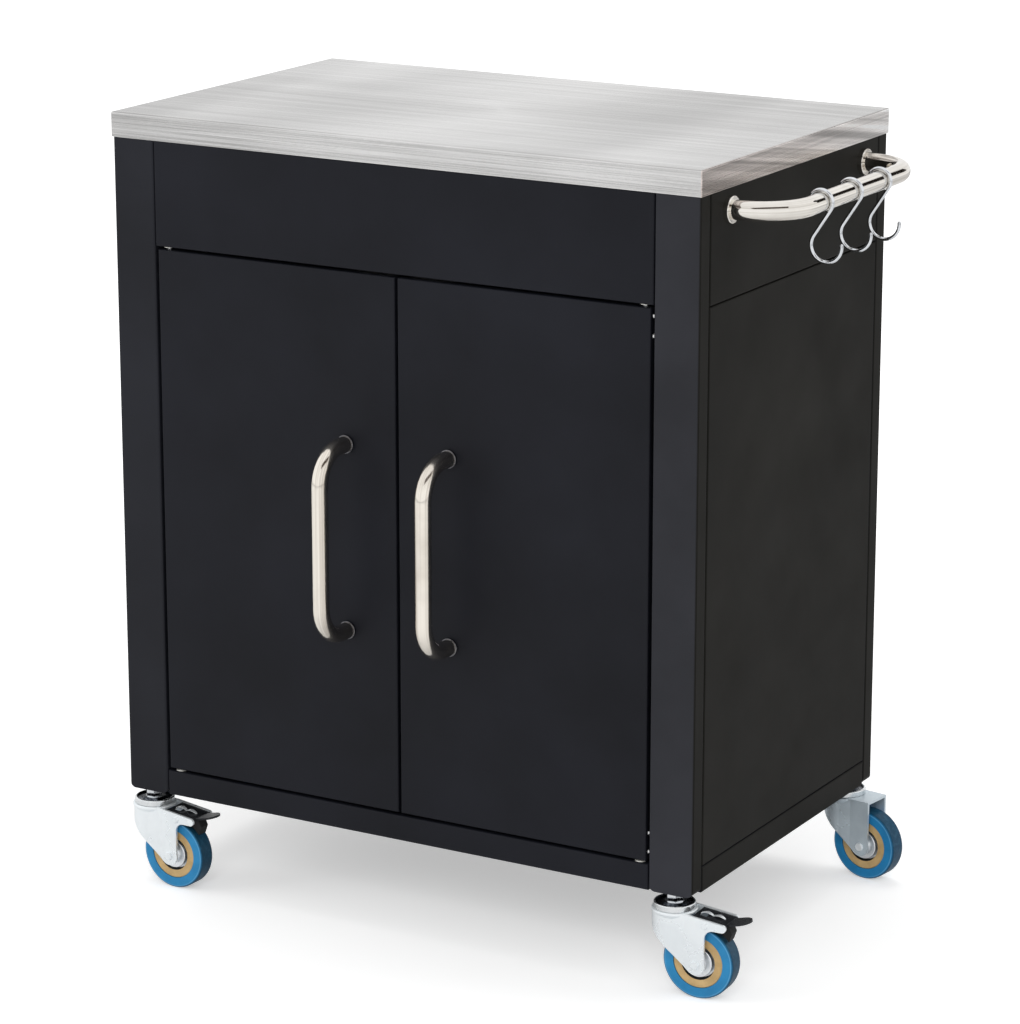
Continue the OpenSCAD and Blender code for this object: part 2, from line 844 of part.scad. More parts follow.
module at_caster(i) {
    place() translate([caster_x(i), caster_y(i), 0]) rotate([0, 0, caster_turn[i]]) children();
}

// Stem with the dished upper race on it and the riveted head under the fork's crown
module caster_stem() {
    low = crown_under - run_gap;
    rim = race_d / 2 - race_edge;
    translate([0, 0, low - head_t]) cylinder(h = stem_top - low + head_t, r = stem_r);
    translate([0, 0, low - head_t]) cylinder(h = head_t, r = stem_head_r);
    translate([0, 0, race_top - race_h]) rotate_extrude() {
        difference() {
            square([race_d / 2, race_h]);
            translate([race_seat, race_h - race_dish]) square([rim - race_seat, race_dish + 1]);
            translate([rim, race_h - race_edge]) square([race_edge + 1, race_edge + 1]);
        }
        translate([rim, race_h - race_edge]) circle(race_edge);
        polygon([[race_seat - 1, race_h], [race_seat - 1, 0], [race_seat + race_dish, 0],
            [race_seat + race_dish, race_h - race_dish], [race_seat, race_h]]);
    }
}

module caster_stems() {
    color(zinc) for (i = [0:3]) at_caster(i) caster_stem();
}
module caster_nuts() {
    color(chrome) for (i = [0:3]) at_caster(i) translate([0, 0, race_top])
        hex_nut(nut_across, nut_h, stem_r + run_fit);
}

// Side outline of a fork, x along the trail and y upwards, with or without the brake arm
module fork_side(braked) {
    axle = [trail, axle_z];
    chin = [-nose_x, crown_under - chin_drop];
    lean = atan2(chin[1] - axle_z, trail + nose_x) + asin(boss_r / norm(axle - chin));
    touch = axle - boss_r * [sin(lean), cos(lean)];
    rear_top = braked ? arm_line(leg_back) : crown_top;
    translate(axle) circle(boss_r);
    polygon([[-nose_x, crown_top], chin, touch, axle, [leg_back, axle_z], [leg_back, rear_top],
        [arm_from, crown_top]]);
    if (braked) {
        polygon([[arm_from, crown_top], [leg_back - 1, arm_low], [arm_end, arm_low],
            [arm_end, arm_low + arm_h]]);
        translate([arm_end, arm_low + arm_h / 2]) circle(arm_h / 2);
        difference() {
            translate([leg_back - 1, arm_low - arm_fillet]) square([arm_fillet + 1, arm_fillet + 0.5]);
            translate([leg_back + arm_fillet, arm_low - arm_fillet]) circle(arm_fillet);
        }
    }
}

// Outline of a fork seen from above: a round nose, leaning sides up to the crease and
// flat legs behind it. The inset gives the space inside.
module fork_plan(inset) {
    half = fork_w / 2 - inset;
    crease = crease_x - inset * tan(nose_lean / 2);
    wide = half + crease * tan(nose_lean);
    translate([nose_r - nose_x, 0]) circle(nose_r - inset);
    polygon([[0, -wide], [crease, -half], [crease + arm_l, -half], [crease + arm_l, half],
        [crease, half], [0, wide]]);
}

module fork(braked) {
    difference() {
        union() {
            difference() {
                intersection() {
                    linear_extrude(crown_top) fork_plan(0);
                    translate([0, fork_w, 0]) rotate([90, 0, 0]) linear_extrude(2 * fork_w)
                        fork_side(braked);
                }
                translate([0, 0, -1]) linear_extrude(crown_under + 1) fork_plan(fork_t);
                if (braked) translate([arm_from, -fork_in, 0]) cube([arm_l, 2 * fork_in, caster_h]);
            }
            rotate_extrude() crown_side();
        }
        translate([0, 0, crown_under - 1]) cylinder(h = fork_t + 2, r = stem_r + run_fit);
        across_fork(trail, axle_z) cylinder(h = 2 * fork_w, r = axle_r + run_fit);
        if (braked) across_fork(rivet_x, rivet_z) cylinder(h = 2 * fork_w, r = rivet_r + run_fit);
    }
}

// Starts a bore through both legs, well outside the fork
module across_fork(x, z) {
    translate([x, fork_w, z]) rotate([90, 0, 0]) children();
}

// Half section of the crown: a flat top, a rounded edge and a flare down to the fork's width
module crown_side() {
    r = crown_d / 2;
    difference() {
        union() {
            square([r - crown_edge, crown_top]);
            square([r, crown_top - crown_edge]);
            translate([r - crown_edge, crown_top - crown_edge]) circle(crown_edge);
        }
        square([r + 1, crown_top - crown_skirt]);
        polygon([[r + 1, 0], [fork_w / 2 + 0.5, 0], [fork_w / 2 + 0.5, crown_top - crown_skirt],
            [r, crown_top - crown_edge - 1], [r + 1, crown_top - crown_edge - 1]]);
        polygon([[-1, 0], [fork_in, 0], [fork_in, crown_top - crown_skirt], [r - fork_t, crown_under],
            [-1, crown_under]]);
    }
}

// Bolt through the fork with the sleeve that the wheel turns on
module axle() {
    half = fork_w / 2;
    translate([trail, 0, axle_z]) rotate([90, 0, 0]) {
        translate([0, 0, -half - axle_nut_t]) cylinder(h = 2 * half + axle_nut_t, r = axle_r);
        translate([0, 0, -fork_in]) cylinder(h = 2 * fork_in, r = sleeve_r);
        translate([0, 0, half]) cylinder(h = 2, d1 = axle_head_d, d2 = axle_head_d - 1.5);
        translate([0, 0, -half - axle_nut_t]) hex_nut(axle_head_d, axle_nut_t, axle_r - 0.5);
    }
}

// Half section of the wheel's core on one side: rim, web, hub and dust cap
module core_half() {
    bore = sleeve_r + run_fit;
    rim_half = wheel_w / 2 - rim_inset;
    translate([core_in_d / 2, 0]) square([(core_d - core_in_d) / 2 - 1, rim_half]);
    translate([core_in_d / 2, 0]) square([(core_d - core_in_d) / 2, rim_half - 1]);
    translate([core_d / 2 - 1, rim_half - 1]) circle(1);
    translate([bore, 0]) square([core_in_d / 2 - bore + 1, web_t / 2]);
    translate([bore, 0]) square([hub_r - bore, fork_in - run_gap]);
    translate([bore, wheel_w / 2 - cap_t]) square([cap_d / 2 - bore - cap_t / 2, cap_t]);
    translate([cap_d / 2 - cap_t / 2, wheel_w / 2 - cap_t / 2]) circle(cap_t / 2);
}

module core() {
    translate([trail, 0, axle_z]) rotate([90, 0, 0]) rotate_extrude() {
        core_half();
        mirror([0, 1]) core_half();
    }
}

module tread() {
    outer = wheel_d / 2;
    half = wheel_w / 2;
    translate([trail, 0, axle_z]) rotate([90, 0, 0]) rotate_extrude() {
        translate([core_d / 2, -half]) square([outer - shoulder_r - core_d / 2, wheel_w]);
        translate([core_d / 2, shoulder_r - half]) square([outer - core_d / 2, wheel_w - 2 * shoulder_r]);
        for (s = [-1, 1]) translate([outer - shoulder_r, s * (half - shoulder_r)]) circle(shoulder_r);
    }
}

// Brake: a pedal between the fork's legs that turns on a rivet and carries the pad

pedal_w = 2 * (fork_in - run_gap);

// Side outline of the pedal's sheet, from the crown to its rear end
module pedal_side() {
    drop = [0, pedal_t];
    front = [pedal_front, pedal_top(pedal_front)];
    back = [pedal_back, pedal_top(pedal_back)];
    polygon([front, back, back - drop, front - drop]);
}

module brake_pedal() {
    difference() {
        union() {
            translate([0, pedal_w / 2, 0]) rotate([90, 0, 0]) linear_extrude(pedal_w) pedal_side();
            for (y = [pedal_w / 2, pedal_t - pedal_w / 2]) translate([0, y, 0])
                rotate([90, 0, 0]) linear_extrude(pedal_t) {
                translate([rivet_x, rivet_z]) circle(eye_r);
                translate([rivet_x - eye_r, rivet_z])
                    square([2 * eye_r, pedal_top(rivet_x + eye_r) - rivet_z - 0.5]);
            }
        }
        across_fork(rivet_x, rivet_z) cylinder(h = 2 * fork_w, r = rivet_r + run_fit);
        translate([pedal_front + 2.5, -slot_w / 2, rivet_z]) cube([slot_l, slot_w, caster_h]);
    }
    translate([pedal_back - 1, 0, pedal_top(pedal_back)])
        rotate([0, -tab_tilt, 0]) translate([0, 0, -pedal_t])
        linear_extrude(pedal_t) tab_plan();
}

// Outline of the tab that the foot presses
module tab_plan() {
    translate([0, -tab_w / 2]) square([tab_l - tab_w / 2, tab_w]);
    translate([tab_l - tab_w / 2, 0]) circle(tab_w / 2);
}

module brake_pad() {
    top = pedal_top(arm_l - 2) - pedal_t;
    translate([0, pad_w / 2, 0]) rotate([90, 0, 0]) linear_extrude(pad_w) difference() {
        polygon([[pad_x, top - pad_l / 2], [pad_x, pedal_top(pad_x) - pedal_t], [arm_l - 2, top],
            [arm_l + pad_out, top - pad_l / 2], [arm_l - 1, top - pad_l]]);
        translate([trail, axle_z]) circle(wheel_d / 2 + pad_gap);
    }
}

module brake_rivet() {
    translate([rivet_x, 0, rivet_z]) rotate([90, 0, 0]) {
        translate([0, 0, -fork_w / 2]) cylinder(h = fork_w, r = rivet_r);
        for (s = [-1, 1]) mirror([0, 0, s < 0 ? 1 : 0]) translate([0, 0, fork_w / 2])
            cylinder(h = rivet_head_t, r1 = rivet_head_r, r2 = rivet_r);
    }
}

// One module per caster piece: 0 front left, 1 front right, 2 rear left, 3 rear right

module fork_piece(i) {
    color(zinc) at_caster(i) fork(i < 2);
}
module axle_piece(i) {
    color(chrome) at_caster(i) axle();
}
module core_piece(i) {
    color(tan_nylon) at_caster(i) core();
}
module tread_piece(i) {
    color(blue) at_caster(i) tread();
}
module pedal_piece(i) {
    color(zinc) at_caster(i) brake_pedal();
}
module pad_piece(i) {
    color(rubber) at_caster(i) brake_pad();
}
module rivet_piece(i) {
    color(chrome) at_caster(i) brake_rivet();
}

worktop_sheet();
worktop_core();
worktop_screws();
post_front_left();
post_front_right();
post_rear_left();
post_rear_right();
front_apron();
left_apron();
right_apron();
left_panel();
right_panel();
back_panel();
floor_tray();
shelf();
shelf_pins();
magnetic_catches();
hinge_bushes();
towel_bar();
towel_bar_collars();
towel_bar_screws();
left_door_skin();
left_door_liner();
left_handle();
left_handle_fixings();
left_hinge_brackets();
right_door_skin();
right_door_liner();
right_handle();
right_handle_fixings();
right_hinge_brackets();
hook_front();
hook_middle();
hook_rear();
caster_stems();
caster_nuts();
fork_piece(0);  // fork_front_left
axle_piece(0);  // axle_front_left
core_piece(0);  // core_front_left
tread_piece(0);  // tread_front_left
fork_piece(1);  // fork_front_right
axle_piece(1);  // axle_front_right
core_piece(1);  // core_front_right
tread_piece(1);  // tread_front_right
fork_piece(2);  // fork_rear_left
axle_piece(2);  // axle_rear_left
core_piece(2);  // core_rear_left
tread_piece(2);  // tread_rear_left
fork_piece(3);  // fork_rear_right
axle_piece(3);  // axle_rear_right
core_piece(3);  // core_rear_right
tread_piece(3);  // tread_rear_right
pedal_piece(0);  // brake_pedal_left
pad_piece(0);  // brake_pad_left
rivet_piece(0);  // brake_rivet_left
pedal_piece(1);  // brake_pedal_right
pad_piece(1);  // brake_pad_right
rivet_piece(1);  // brake_rivet_right
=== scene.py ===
import bpy
import json
import math
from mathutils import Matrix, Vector


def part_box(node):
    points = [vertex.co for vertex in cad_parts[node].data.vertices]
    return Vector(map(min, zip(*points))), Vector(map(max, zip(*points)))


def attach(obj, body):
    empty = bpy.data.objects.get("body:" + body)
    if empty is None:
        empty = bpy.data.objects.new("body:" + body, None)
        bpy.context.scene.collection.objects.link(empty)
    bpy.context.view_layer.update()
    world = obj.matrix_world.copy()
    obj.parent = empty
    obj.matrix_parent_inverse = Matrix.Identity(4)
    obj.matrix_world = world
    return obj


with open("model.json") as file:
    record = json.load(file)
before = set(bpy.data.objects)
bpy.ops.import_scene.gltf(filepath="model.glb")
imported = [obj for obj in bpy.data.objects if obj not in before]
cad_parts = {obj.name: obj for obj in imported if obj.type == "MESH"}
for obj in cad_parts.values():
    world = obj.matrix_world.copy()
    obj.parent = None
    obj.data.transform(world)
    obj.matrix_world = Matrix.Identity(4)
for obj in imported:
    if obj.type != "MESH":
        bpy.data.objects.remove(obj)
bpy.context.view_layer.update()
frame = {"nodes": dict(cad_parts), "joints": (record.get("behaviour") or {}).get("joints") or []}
nodes = frame["nodes"]
joints = {j["name"]: j for j in frame["joints"]}
corners = ["front_left", "front_right", "rear_left", "rear_right"]
print("frame loaded:", len(nodes), "CAD nodes")

# The stage is set out from the middle of the cabinet's width, under its front face
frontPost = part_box("post_front_left")
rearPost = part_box("post_rear_right")
cabinetFoot = Vector(((frontPost[0].x + rearPost[1].x) / 2, frontPost[0].y, 0))

# Values of a noise lie mostly between these two
noiseSpan = (0.3, 0.7)


# Node helpers

def newMaterial(name):
    mat = bpy.data.materials.new(name)
    mat.use_nodes = True
    return mat, mat.node_tree, mat.node_tree.nodes["Principled BSDF"]


def addNode(tree, kind, values=None, **settings):
    node = tree.nodes.new(kind)
    for key, value in settings.items():
        setattr(node, key, value)
    for key, value in (values or {}).items():
        node.inputs[key].default_value = value
    return node


def feed(tree, node, values):
    # Each input is linked to a socket, or set to a number or a tone
    for slot, value in values.items():
        if hasattr(value, "links"):
            tree.links.new(value, node.inputs[slot])
        elif isinstance(value, tuple):
            node.inputs[slot].default_value = (*value, 1)
        else:
            node.inputs[slot].default_value = value


def place(tree, stretch=(1, 1, 1), centre=(0, 0, 0), turn=0):
    # Object coordinates with the centre at zero, turned back about Z, then stretched
    coords = addNode(tree, "ShaderNodeTexCoord")
    steps = [{"Location": [-c for c in centre]}, {"Rotation": (0, 0, -turn)}, {"Scale": stretch}]
    where = coords.outputs["Object"]
    for step in steps:
        mapping = addNode(tree, "ShaderNodeMapping", step)
        tree.links.new(where, mapping.inputs["Vector"])
        where = mapping.outputs["Vector"]
    return where


def split(tree, where):
    axes = addNode(tree, "ShaderNodeSeparateXYZ")
    tree.links.new(where, axes.inputs[0])
    return list(axes.outputs)


def distance(tree, where):
    node = addNode(tree, "ShaderNodeVectorMath", operation="LENGTH")
    tree.links.new(where, node.inputs[0])
    return node.outputs["Value"]


def noise(tree, where, scale, detail):
    node = addNode(tree, "ShaderNodeTexNoise", {"Scale": scale, "Detail": detail, "Roughness": 0.55})
    tree.links.new(where, node.inputs["Vector"])
    return node.outputs["Fac"]


def lineNoise(tree, value, scale):
    # Noise that changes with one value only
    node = addNode(tree, "ShaderNodeTexNoise", {"Scale": 1.0, "Detail": 3.0}, noise_dimensions="1D")
    tree.links.new(calculate(tree, "MULTIPLY", value, scale), node.inputs["W"])
    return node.outputs["Fac"]


def remap(tree, value, low, high, toLow=0.0, toHigh=1.0):
    span = {"From Min": low, "From Max": high, "To Min": toLow, "To Max": toHigh}
    node = addNode(tree, "ShaderNodeMapRange", span)
    tree.links.new(value, node.inputs["Value"])
    return node.outputs["Result"]


def calculate(tree, operation, first, second=0):
    node = addNode(tree, "ShaderNodeMath", operation=operation)
    feed(tree, node, {0: first, 1: second})
    return node.outputs["Value"]


def blend(tree, parts):
    # Sum of the values, each times its share
    total = None
    for value, share in parts:
        part = calculate(tree, "MULTIPLY", value, share)
        total = part if total is None else calculate(tree, "ADD", total, part)
    return total


def mixColor(tree, factor, first, second, blendType="MIX"):
    node = addNode(tree, "ShaderNodeMix", data_type="RGBA", blend_type=blendType)
    feed(tree, node, {0: factor, 6: first, 7: second})
    return node.outputs[2]


def mixValue(tree, factor, first, second):
    node = addNode(tree, "ShaderNodeMix")
    feed(tree, node, {0: factor, 2: first, 3: second})
    return node.outputs[0]


def bump(tree, height, strength, depth, after=None):
    node = addNode(tree, "ShaderNodeBump", {"Strength": strength, "Distance": depth})
    tree.links.new(height, node.inputs["Height"])
    if after is not None:
        tree.links.new(after, node.inputs["Normal"])
    return node.outputs["Normal"]


def dents(tree, where, look, after=None):
    # Bumps from a noise: its scale and detail, then their strength and depth in metres
    scale, detail, strength, depth = look
    return bump(tree, noise(tree, where, scale, detail), strength, depth, after)


def scaled(tone, factor):
    # A tone times one number, or times one number for each channel
    factors = factor if isinstance(factor, tuple) else (factor,) * 3
    return tuple(c * k for c, k in zip(tone, factors))


def dress(mat, *names):
    for name in names:
        mesh = nodes[name].data
        mesh.materials.clear()
        mesh.materials.append(mat)


# Powder coat: black satin with a fine orange peel and faint cloudy marks

coat = {
    # Tone and specular level of each part of the cabinet: copies of one black coat, each painted as
    # light as its part looks; painted light makes the near post and the side panels lighter
    "doors": ((0.0070, 0.0076, 0.0110), 0.16),
    "litNearPost": ((0.0205, 0.0213, 0.0265), 0.20),
    "otherPosts": ((0.0105, 0.0112, 0.0150), 0.17),
    "sides": ((0.0125, 0.0120, 0.0105), 0.04),
    "inside": ((0.0060, 0.0062, 0.0070), 0.20),
    # Clouds and specks: scale and detail of the noise, then where it starts and ends
    "cloud": (5, 4),
    "cloudSpan": (0.35, 0.7),
    "darker": 0.8,
    "lighter": 1.45,
    "speck": (1800, 2),
    "speckSpan": (0.62, 0.75, 0, 0.35),
    "speckGain": 3,
    "roughNoise": (11, 5),
    "roughness": (0.41, 0.52),
    "peel": (950, 1, 0.5, 0.00006),
    "wave": (14, 1, 0.25, 0.0004),
    # Depth under a right face where its painted lit tone starts and is full
    "sideStart": 0.0016,
    "sideFull": 0.0004,
}


def powderCoat(name, part, sideNode=None):
    tone, specular = coat[part]
    mat, tree, shader = newMaterial(name)
    where = place(tree)
    cloud = remap(tree, noise(tree, where, *coat["cloud"]), *coat["cloudSpan"])
    speck = remap(tree, noise(tree, where, *coat["speck"]), *coat["speckSpan"])
    base = mixColor(tree, cloud, scaled(tone, coat["darker"]), scaled(tone, coat["lighter"]))
    base = mixColor(tree, speck, base, scaled(tone, coat["speckGain"]))
    if sideNode:
        # Painted light: the node's face on the right side gets the side panels' lit tone, so it looks
        # like the side panel that it borders
        litSideTone, sideSpecular = coat["sides"]
        x = split(tree, where)[0]
        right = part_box(sideNode)[1].x
        onLitSide = remap(tree, x, right - coat["sideStart"], right - coat["sideFull"])
        base = mixColor(tree, onLitSide, base, litSideTone)
        specular = mixValue(tree, onLitSide, specular, sideSpecular)
    rough = noise(tree, where, *coat["roughNoise"])
    feed(tree, shader, {
        "Base Color": base,
        "Roughness": remap(tree, rough, *noiseSpan, *coat["roughness"]),
        "Specular IOR Level": specular,
        "Normal": dents(tree, where, coat["wave"], dents(tree, where, coat["peel"])),
    })
    return mat


# Worktop: brushed along its length, with painted reflection bands on top and turned-down edges painted
# lighter or darker as painted light

worktop = {
    "light": (0.72, 0.715, 0.71),
    "dark": (0.47, 0.465, 0.46),
    # Brush marks: stretch along X, Y and Z, the same on the side edge, detail, share in the tone
    "hair": ((6, 900, 900), (0, 6, 900), 2, 0.35),
    "streak": ((1.6, 110, 110), (0, 1.6, 110), 3, 0.40),
    # Clouds: stretch, turn about Z, detail, share in the tone
    "cloud": ((6.5, 1.5, 0), -0.5, 2, 0.25),
    "grainSpan": (0.38, 0.60),
    # Painted reflection bands: place along the top, from its left end, and brightness there
    "reflectionBands": [(0, 0.80), (0.05, 0.82), (0.125, 0.96), (0.24, 0.85),
              (0.5, 1.0), (0.78, 0.78), (0.88, 0.94), (0.96, 0.89)],
    # Painted light on the edges: their brightness, and how much warmer the side edge is at its near
    # and far end, a painted warm reflection
    "frontEdge": 1.14,
    "sideEdge": (0.55, 1.35),
    "sideReflectionWarmth": (1.05, 0.95, 0.91),
    "warmthSpan": (1, 0.2),
    # Leaning painted reflection streaks on the side edge
    "reflectionStreakLean": 0.17,
    "reflectionStreakScale": 75,
    "reflectionStreakSpan": (0.38, 0.62, 0.6, 1.5),
    # Depth under a face where its edge starts and is full, and the same for the painted highlight on
    # the fold
    "edgeDepth": (0.0012, 0.0006),
    "foldHighlightDepth": (0.0016, 0.0008),
    "foldHighlightTone": (1.25, 1.25, 1.25),
    "roughness": (0.21, 0.35),
    "anisotropy": 0.5,
    "hairBump": (0.35, 0.00004),
    "streakBump": (0.25, 0.00006),
}


def worktopMaterial():
    mat, tree, shader = newMaterial("worktopSteel")
    low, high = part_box("worktop_sheet")
    x, y, z = split(tree, place(tree))
    edgeStart, edgeFull = worktop["edgeDepth"]
    isSide = remap(tree, x, high.x - edgeStart, high.x - edgeFull)
    isEdge = remap(tree, z, high.z - edgeStart, high.z - edgeFull, 1, 0)

    # Brush marks run along the length, and along the depth on the side edge
    grains = []
    for part in ("hair", "streak"):
        stretch, sideStretch, detail, share = worktop[part]
        long, across = (noise(tree, place(tree, s), 1, detail) for s in (stretch, sideStretch))
        grains.append((mixValue(tree, isSide, long, across), share))
    hair, streak = (grain[0] for grain in grains)
    stretch, turn, detail, share = worktop["cloud"]
    grains.append((noise(tree, place(tree, stretch, turn=turn), 1, detail), share))
    grain = remap(tree, blend(tree, grains), *worktop["grainSpan"])
    # Painted reflection: the side edge gets a warm tint, strongest at its near end
    warmDark, warmLight = (scaled(worktop[part], worktop["sideReflectionWarmth"]) for part in ("dark", "light"))
    reflectionWarmth = calculate(tree, "MULTIPLY", isSide, remap(tree, y, low.y, high.y, *worktop["warmthSpan"]))
    base = mixColor(tree, grain, worktop["dark"], worktop["light"])
    base = mixColor(tree, reflectionWarmth, base, mixColor(tree, grain, warmDark, warmLight))

    # Soft light and dark bands across the top: painted reflection
    ramp = addNode(tree, "ShaderNodeValToRGB")
    ramp.color_ramp.interpolation = "EASE"
    stops = ramp.color_ramp.elements
    while len(stops) < len(worktop["reflectionBands"]):
        stops.new(0.5)
    for stop, (at, level) in zip(stops, worktop["reflectionBands"]):
        stop.position = at
        stop.color = (level, level, level, 1)
    tree.links.new(remap(tree, x, low.x, high.x), ramp.inputs["Fac"])

    # Painted light: the side edge gets lighter to its far end, under leaning painted reflection
    # streaks
    lean = calculate(tree, "ADD", z, calculate(tree, "MULTIPLY", y, worktop["reflectionStreakLean"]))
    reflectionStreaks = remap(tree, lineNoise(tree, lean, worktop["reflectionStreakScale"]), *worktop["reflectionStreakSpan"])
    side = calculate(tree, "MULTIPLY", remap(tree, y, low.y, high.y, *worktop["sideEdge"]), reflectionStreaks)
    edge = mixValue(tree, isSide, worktop["frontEdge"], side)

    # Painted highlight on the fold at the near corner
    foldStart, foldFull = worktop["foldHighlightDepth"]
    nearFront = remap(tree, y, low.y + foldFull, low.y + foldStart, 1, 0)
    nearSide = remap(tree, x, high.x - foldStart, high.x - foldFull)
    foldHighlight = calculate(tree, "MULTIPLY", nearFront, nearSide)
    edge = mixColor(tree, foldHighlight, edge, worktop["foldHighlightTone"])
    shade = mixColor(tree, isEdge, ramp.outputs["Color"], edge)
    feed(tree, shader, {
        "Base Color": mixColor(tree, 1, base, shade, "MULTIPLY"),
        "Roughness": remap(tree, hair, *noiseSpan, *worktop["roughness"]),
        "Metallic": 1,
        "Anisotropic": worktop["anisotropy"],
        "Normal": bump(tree, streak, *worktop["streakBump"], bump(tree, hair, *worktop["hairBump"])),
    })
    return mat


# Bare metal with cloudy plating, faint polishing marks and tiny pits

metal = {
    "footSteel": {
        "tone": (0.20, 0.20, 0.21), "dark": (0.10, 0.10, 0.11),
        "roughness": 0.22, "markScale": 600, "cloudScale": 90,
    },
    "hookChrome": {
        "tone": (0.82, 0.84, 0.87), "dark": (0.66, 0.68, 0.71),
        "roughness": 0.10, "markScale": 600, "cloudScale": 60,
    },
    "screwSteel": {
        "tone": (0.80, 0.80, 0.80), "dark": (0.62, 0.63, 0.64),
        "roughness": 0.25, "markScale": 600, "cloudScale": 90,
    },
    "zincPlate": {
        "tone": (0.94, 0.98, 1.00), "dark": (0.82, 0.87, 0.90),
        "roughness": 0.28, "markScale": 60, "cloudScale": 20,
        "markShare": 0.04, "pitDepth": 0.0000005, "metallic": 0.45,
    },
    "zincShaded": {
        "tone": (0.66, 0.75, 0.81), "dark": (0.50, 0.58, 0.64),
        "roughness": 0.24, "markScale": 60, "cloudScale": 20,
        "markShare": 0.04, "pitDepth": 0.0000005, "metallic": 0.45,
    },
    "springSteel": {
        "tone": (0.90, 0.93, 0.95), "dark": (0.70, 0.74, 0.77),
        "roughness": 0.25, "markScale": 500, "cloudScale": 90, "metallic": 0.45,
    },
    # What a metal has where it doesn't say otherwise; dents are so many times deeper than pits
    "common": {
        "markShare": 0.25, "pitDepth": 0.00002, "metallic": 1, "cloudDetail": 4,
        "markStretch": (1, 1, 7), "markDetail": 3, "markSpan": (0.6, 0.8), "pitStrength": 0.3,
        "dents": (60, 2, 0.2), "dentDepth": 4, "roughSpread": (0.75, 1.3),
    },
}


def plated(name):
    look = {**metal["common"], **metal[name]}
    mat, tree, shader = newMaterial(name)
    where = place(tree)
    cloud = noise(tree, where, look["cloudScale"], look["cloudDetail"])
    marks = noise(tree, place(tree, look["markStretch"]), look["markScale"], look["markDetail"])
    base = mixColor(tree, remap(tree, cloud, *noiseSpan), look["dark"], look["tone"])
    marked = remap(tree, marks, *look["markSpan"], 0, look["markShare"])
    shiny, dull = (look["roughness"] * k for k in look["roughSpread"])
    pits = bump(tree, marks, look["pitStrength"], look["pitDepth"])
    deeper = look["pitDepth"] * look["dentDepth"]
    feed(tree, shader, {
        "Base Color": mixColor(tree, marked, base, look["dark"]),
        "Roughness": remap(tree, cloud, *noiseSpan, shiny, dull),
        "Metallic": look["metallic"],
        "Normal": dents(tree, where, (*look["dents"], deeper), pits),
    })
    return mat


# Polished tube: cloudy plating with fine lengthwise marks in a second tone. Each tube is bent
# in one plane, so marks that change only across that plane follow its bends.

tube = {
    # Tones, roughness and the axis across the plane of the bends: 0 is X, 2 is Z
    "handleSteel": ((0.89, 0.84, 0.76), (0.42, 0.36, 0.30), 0.14, 0),
    "barSteel": ((0.84, 0.81, 0.76), (0.46, 0.42, 0.37), 0.07, 2),
    "acrossScale": 700,
    "alongScale": 4,
    "streakScale": 0.35,
    "detail": 2,
    "markShare": 0.4,
    "streakShare": 0.6,
    "markSpan": (0.44, 0.68),
    "cloud": (22, 4),
    "cloudSpan": (0.5, 0.8, 0, 0.4),
    "roughSpread": (0.8, 1.3),
    "markBump": (0.3, 0.00003),
    "streakBump": (0.25, 0.00009),
}


def polishedTube(name):
    tone, mark, roughness, across = tube[name]
    mat, tree, shader = newMaterial(name)
    fine = [tube["alongScale"]] * 3
    fine[across] = tube["acrossScale"]
    wide = [c * tube["streakScale"] for c in fine]
    marks, streaks = (noise(tree, place(tree, s), 1, tube["detail"]) for s in (fine, wide))
    cloud = noise(tree, place(tree), *tube["cloud"])
    lines = blend(tree, [(marks, tube["markShare"]), (streaks, tube["streakShare"])])
    base = mixColor(tree, remap(tree, lines, *tube["markSpan"]), tone, mark)
    shiny, dull = (roughness * k for k in tube["roughSpread"])
    feed(tree, shader, {
        "Base Color": mixColor(tree, remap(tree, cloud, *tube["cloudSpan"]), base, mark),
        "Roughness": remap(tree, cloud, *noiseSpan, shiny, dull),
        "Metallic": 1,
        "Normal": bump(tree, streaks, *tube["streakBump"], bump(tree, marks, *tube["markBump"])),
    })
    return mat


# Wheels: rings are drawn by the distance from the axle

tread = {
    "blue": (0.028, 0.275, 0.555),
    "blueDark": (0.018, 0.195, 0.415),
    # Painted shade: the running surface is drawn far darker than the face
    "shadedRunBlue": (0.006, 0.050, 0.095),
    # The far wheel stands in cooler light
    "tint": {"rear_right": (0.4, 0.92, 1.0)},
    "cloud": (60, 4),
    "cloudSpan": (0.3, 0.75),
    "ringScale": 4000,
    "ringTone": (0.10, 0.33, 0.62),
    "ringSpan": (0.35, 0.7, 0, 0.22),
    "dust": (240, 5),
    "dustTone": (0.04, 0.13, 0.21),
    "dustSpan": (0.45, 0.75, 0, 0.5),
    # Depths under the running surface: where it starts and is full, and of the painted highlight line
    # at the shoulder
    "runStart": 0.0019,
    "runFull": 0.0003,
    "shoulderHighlightDepth": 0.0021,
    "shoulderHighlightWidth": 0.0007,
    "shoulderHighlightShare": 0.75,
    "shoulderHighlightTone": (0.16, 0.42, 0.66),
    "roughness": (0.36, 0.5),
    "specular": 0.22,
    "ringBump": (0.25, 0.00003),
    "grain": (500, 2, 0.3, 0.00008),
}


def axleOf(corner):
    # Middle of the axle and the angle of the caster about Z
    joint = joints["wheel_roll_" + corner]
    axis = joint["axis"]
    return Vector(joint["pos_m"]), math.atan2(-axis[0], axis[1])


def wheelRadius(tree, corner):
    centre, turn = axleOf(corner)
    return distance(tree, place(tree, (1, 0, 1), centre, turn))


def radiusOf(node):
    # Half the height of a wheel's piece
    low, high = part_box(node)
    return (high.z - low.z) / 2


